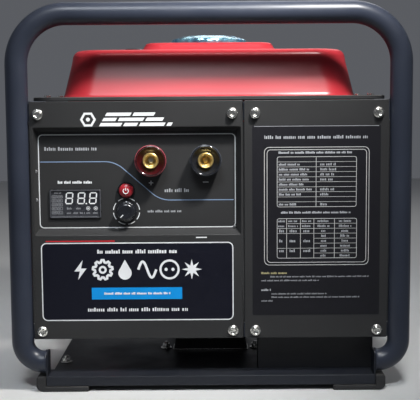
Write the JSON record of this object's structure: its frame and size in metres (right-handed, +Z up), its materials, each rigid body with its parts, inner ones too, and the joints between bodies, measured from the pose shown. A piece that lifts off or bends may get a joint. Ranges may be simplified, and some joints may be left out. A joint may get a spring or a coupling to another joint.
{
  "type": "engine driven welder",
  "caption": "Engine driven welder in an open tube frame, with front control panels, fuel tank on top, petrol engine, alternator and inverter behind.",
  "frame": {"origin": "on the floor, under the middle of the frame's box", "axes": "+X to the right of someone facing the control panels, along the longest side; +Y from the panels to the back, along the shortest side; +Z up"},
  "size_m": [0.49, 0.4, 0.472],
  "materials": {
    "frame_paint": "gloss black powder coat",
    "panel_paint": "satin dark grey powder coat",
    "tank_paint": "gloss red",
    "starter_paint": "gloss red",
    "shroud_paint": "satin black",
    "exhaust_paint": "heat resistant matt grey",
    "cap_plating": "pale blue plated",
    "zinc": "bright zinc plate",
    "steel": "machined",
    "brass": "turned",
    "copper_winding": "enamelled copper wire",
    "cast_aluminium": "as cast",
    "black_plastic": "moulded",
    "gloss_black_plastic": "moulded",
    "maroon_plastic": "moulded dark red",
    "red_plastic": "moulded",
    "rubber": "moulded",
    "rope": "braided cord"
  },
  "bodies": {
    "welder_frame": {"front_hoop": "frame_paint", "rear_hoop": "frame_paint", "base_tray": "frame_paint", "panel_top_rail": "frame_paint", "panel_bottom_rail": "frame_paint", "tank_rail_left": "frame_paint", "tank_rail_right": "frame_paint", "rubber_foot_front_left": "rubber", "rubber_foot_front_right": "rubber", "rubber_foot_rear_left": "rubber", "rubber_foot_rear_right": "rubber", "engine_mount_front": "rubber", "engine_mount_rear": "rubber", "control_panel": "panel_paint", "rating_panel": "panel_paint", "display_module": "gloss_black_plastic", "output_socket_positive": "maroon_plastic", "output_socket_negative": "gloss_black_plastic", "brass_contact_positive": "brass", "brass_contact_negative": "brass", "inverter_housing": "cast_aluminium", "ac_outlet": "black_plastic", "fuel_tank": "tank_paint", "fuel_gauge": "gloss_black_plastic", "fuel_valve": "cast_aluminium", "fuel_hose": "rubber", "crankcase": "cast_aluminium", "cylinder": "cast_aluminium", "valve_cover": "steel", "spark_plug_boot": "rubber", "fan_shroud": "shroud_paint", "recoil_cover": "starter_paint", "alternator_stator": "copper_winding", "alternator_housing": "cast_aluminium", "muffler": "exhaust_paint", "muffler_guard": "steel", "air_cleaner": "black_plastic", "carburettor": "cast_aluminium", "panel_bolt_1": "zinc", "panel_bolt_2": "zinc", "panel_bolt_3": "zinc", "panel_bolt_4": "zinc", "panel_bolt_5": "zinc", "panel_bolt_6": "zinc", "panel_bolt_7": "zinc", "panel_bolt_8": "zinc"},
    "current_knob": {"current_knob": "gloss_black_plastic"},
    "switch_button": {"switch_button": "red_plastic"},
    "fuel_cap_gasket": {"fuel_cap_gasket": "rubber"},
    "fuel_cap": {"fuel_cap": "cap_plating"},
    "crank_assembly": {"crankshaft": "steel", "flywheel_fan": "cast_aluminium", "alternator_rotor": "steel"},
    "inverter_fan": {"inverter_fan": "black_plastic"},
    "starter_pull": {"recoil_handle": "black_plastic", "starter_rope": "rope"},
    "rope_reel": {"rope_reel": "black_plastic"},
    "choke_lever": {"choke_lever": "zinc"},
    "fuel_valve_lever": {"fuel_valve_lever": "red_plastic"},
    "oil_dipstick": {"oil_dipstick": "gloss_black_plastic"}
  },
  "joints": [
    {"name": "current_knob_turn", "type": "hinge", "parent": "welder_frame", "child": "current_knob", "pos_m": [-0.102, -0.178, 0.22], "axis": [0, 1, 0], "range_deg": [0, 270]},
    {"name": "switch_button_press", "type": "slide", "parent": "welder_frame", "child": "switch_button", "axis": [0, 1, 0], "range_m": [0, 0.002], "stiffness_N_per_m": 400, "springref_m": -0.001},
    {"name": "fuel_cap_lift", "type": "slide", "parent": "welder_frame", "child": "fuel_cap_gasket", "axis": [0, 0, 1], "range_m": [0, 0.05]},
    {"name": "fuel_cap_turn", "type": "hinge", "parent": "fuel_cap_gasket", "child": "fuel_cap", "pos_m": [0, 0, 0.4385], "axis": [0, 0, 1], "range_deg": [0, 90]},
    {"name": "crankshaft_spin", "type": "hinge", "parent": "welder_frame", "child": "crank_assembly", "pos_m": [0, 0.03, 0.15], "axis": [1, 0, 0], "continuous": true},
    {"name": "inverter_fan_spin", "type": "hinge", "parent": "welder_frame", "child": "inverter_fan", "pos_m": [0.132, -0.1, 0.15], "axis": [0, 1, 0], "continuous": true},
    {"name": "recoil_pull", "type": "slide", "parent": "welder_frame", "child": "starter_pull", "axis": [0, 1, 0], "range_m": [0, 0.085], "stiffness_N_per_m": 60, "springref_m": -0.05},
    {"name": "rope_reel_spin", "type": "hinge", "parent": "welder_frame", "child": "rope_reel", "pos_m": [-0.15, 0.03, 0.15], "axis": [-1, 0, 0], "range_deg": [0, 120]},
    {"name": "choke_lever_swing", "type": "hinge", "parent": "welder_frame", "child": "choke_lever", "pos_m": [-0.065, 0.1303, 0.24], "axis": [0, 1, 0], "range_deg": [0, 60]},
    {"name": "fuel_valve_turn", "type": "hinge", "parent": "welder_frame", "child": "fuel_valve_lever", "pos_m": [-0.1595, -0.06, 0.2982], "axis": [1, 0, 0], "range_deg": [0, 90]},
    {"name": "oil_dipstick_turn", "type": "hinge", "parent": "welder_frame", "child": "oil_dipstick", "pos_m": [0.035, -0.045, 0.085], "axis": [0, -1, 0], "range_deg": [0, 180]}
  ],
  "couplings": [
    {"joint": "rope_reel_spin", "follows": "recoil_pull", "rad_per_m": 23.64}
  ]
}
